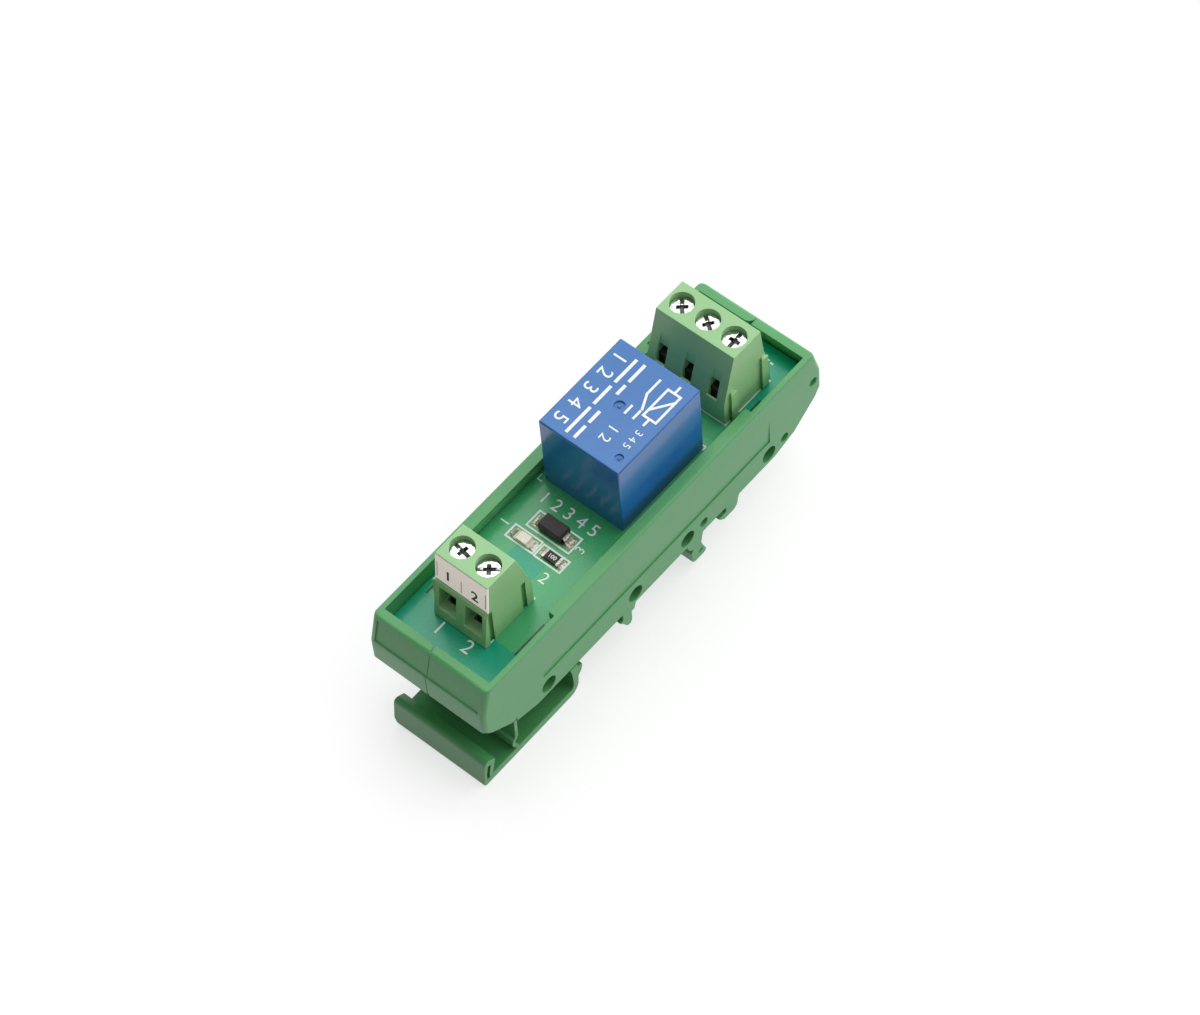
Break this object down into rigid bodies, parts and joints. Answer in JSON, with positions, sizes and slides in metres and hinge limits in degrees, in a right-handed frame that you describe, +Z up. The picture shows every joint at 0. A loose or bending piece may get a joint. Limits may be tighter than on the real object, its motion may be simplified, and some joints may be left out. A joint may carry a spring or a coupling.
{
  "type": "relay module board",
  "caption": "Relay board with screw terminal blocks in a two-part moulded rail carrier, with fixed rail hooks and a sprung sliding latch.",
  "frame": {"origin": "under the middle of the footprint, level with the underside of the latch foot", "axes": "+X across both carrier halves, +Y along the board from the latch end to the other terminal block, +Z up"},
  "size_m": [0.0226, 0.0812, 0.0355],
  "materials": {
    "carrier_green": "fine matt moulded",
    "board_green": "glossy solder mask over glass laminate",
    "terminal_green": "satin moulded",
    "relay_blue": "smooth moulded",
    "dark_plastic": "matt moulded",
    "cream_plastic": "matt moulded",
    "lamp_resin": "clear cast resin",
    "label_card": "printed film",
    "screw_steel": "bright nickel plated",
    "plated_steel": "zinc plated",
    "tinned_copper": "tin plated",
    "solder": "bright solder",
    "contact_brass": "rolled strip",
    "copper_wire": "enamelled wire"
  },
  "bodies": {
    "carrier": {"carrier_half_left": "carrier_green", "carrier_half_right": "carrier_green", "circuit_board": "board_green", "solder_joints": "solder", "relay_case": "relay_blue", "relay_base": "dark_plastic", "relay_bobbin": "cream_plastic", "relay_winding": "copper_wire", "relay_core": "plated_steel", "relay_yoke": "plated_steel", "relay_upper_contact": "contact_brass", "relay_lower_contact": "contact_brass", "relay_coil_pins": "plated_steel", "input_terminal_housing": "terminal_green", "input_contact_bars": "tinned_copper", "input_label_strip": "label_card", "output_terminal_housing": "terminal_green", "output_contact_bars": "tinned_copper", "diode_body": "dark_plastic", "diode_leads": "solder", "lamp_base": "cream_plastic", "lamp_lens": "lamp_resin", "resistor_body": "dark_plastic", "resistor_caps": "solder"},
    "latch": {"rail_latch": "carrier_green", "latch_spring": "carrier_green"},
    "armature": {"relay_armature": "plated_steel", "relay_contact_spring": "contact_brass"},
    "input_screw_1": {"input_screw_1": "screw_steel"},
    "input_clamp_1": {"input_clamp_1": "plated_steel"},
    "input_screw_2": {"input_screw_2": "screw_steel"},
    "input_clamp_2": {"input_clamp_2": "plated_steel"},
    "output_screw_1": {"output_screw_1": "screw_steel"},
    "output_clamp_1": {"output_clamp_1": "plated_steel"},
    "output_screw_2": {"output_screw_2": "screw_steel"},
    "output_clamp_2": {"output_clamp_2": "plated_steel"},
    "output_screw_3": {"output_screw_3": "screw_steel"},
    "output_clamp_3": {"output_clamp_3": "plated_steel"}
  },
  "joints": [
    {"name": "latch_slide", "type": "slide", "parent": "carrier", "child": "latch", "axis": [0, -1, 0], "range_m": [0, 0.0025], "stiffness_N_per_m": 250, "springref_m": -0.0006, "deforming": ["latch_spring"]},
    {"name": "armature_hinge", "type": "hinge", "parent": "carrier", "child": "armature", "pos_m": [-0.0005, 0.0006, 0.03215], "axis": [-1, 0, 0], "range_deg": [0, 3.2], "stiffness_Nm_per_rad": 0.004, "springref_deg": -1.15},
    {"name": "input_screw_1_turn", "type": "hinge", "parent": "carrier", "child": "input_screw_1", "pos_m": [0.00204, -0.02534, 0.0303], "axis": [0, 0, -1], "range_deg": [0, 1440]},
    {"name": "input_clamp_1_lift", "type": "slide", "parent": "carrier", "child": "input_clamp_1", "axis": [0, 0, 1], "range_m": [0, 0.002]},
    {"name": "input_screw_2_turn", "type": "hinge", "parent": "carrier", "child": "input_screw_2", "pos_m": [-0.00304, -0.02534, 0.0303], "axis": [0, 0, -1], "range_deg": [0, 1440]},
    {"name": "input_clamp_2_lift", "type": "slide", "parent": "carrier", "child": "input_clamp_2", "axis": [0, 0, 1], "range_m": [0, 0.002]},
    {"name": "output_screw_1_turn", "type": "hinge", "parent": "carrier", "child": "output_screw_1", "pos_m": [-0.00558, 0.02814, 0.0303], "axis": [0, 0, -1], "range_deg": [0, 1440]},
    {"name": "output_clamp_1_lift", "type": "slide", "parent": "carrier", "child": "output_clamp_1", "axis": [0, 0, 1], "range_m": [0, 0.002]},
    {"name": "output_screw_2_turn", "type": "hinge", "parent": "carrier", "child": "output_screw_2", "pos_m": [-0.0005, 0.02814, 0.0303], "axis": [0, 0, -1], "range_deg": [0, 1440]},
    {"name": "output_clamp_2_lift", "type": "slide", "parent": "carrier", "child": "output_clamp_2", "axis": [0, 0, 1], "range_m": [0, 0.002]},
    {"name": "output_screw_3_turn", "type": "hinge", "parent": "carrier", "child": "output_screw_3", "pos_m": [0.00458, 0.02814, 0.0303], "axis": [0, 0, -1], "range_deg": [0, 1440]},
    {"name": "output_clamp_3_lift", "type": "slide", "parent": "carrier", "child": "output_clamp_3", "axis": [0, 0, 1], "range_m": [0, 0.002]}
  ],
  "couplings": [
    {"joint": "input_screw_1_turn", "follows": "input_clamp_1_lift", "rad_per_m": 12566},
    {"joint": "input_screw_2_turn", "follows": "input_clamp_2_lift", "rad_per_m": 12566},
    {"joint": "output_screw_1_turn", "follows": "output_clamp_1_lift", "rad_per_m": 12566},
    {"joint": "output_screw_2_turn", "follows": "output_clamp_2_lift", "rad_per_m": 12566},
    {"joint": "output_screw_3_turn", "follows": "output_clamp_3_lift", "rad_per_m": 12566}
  ]
}
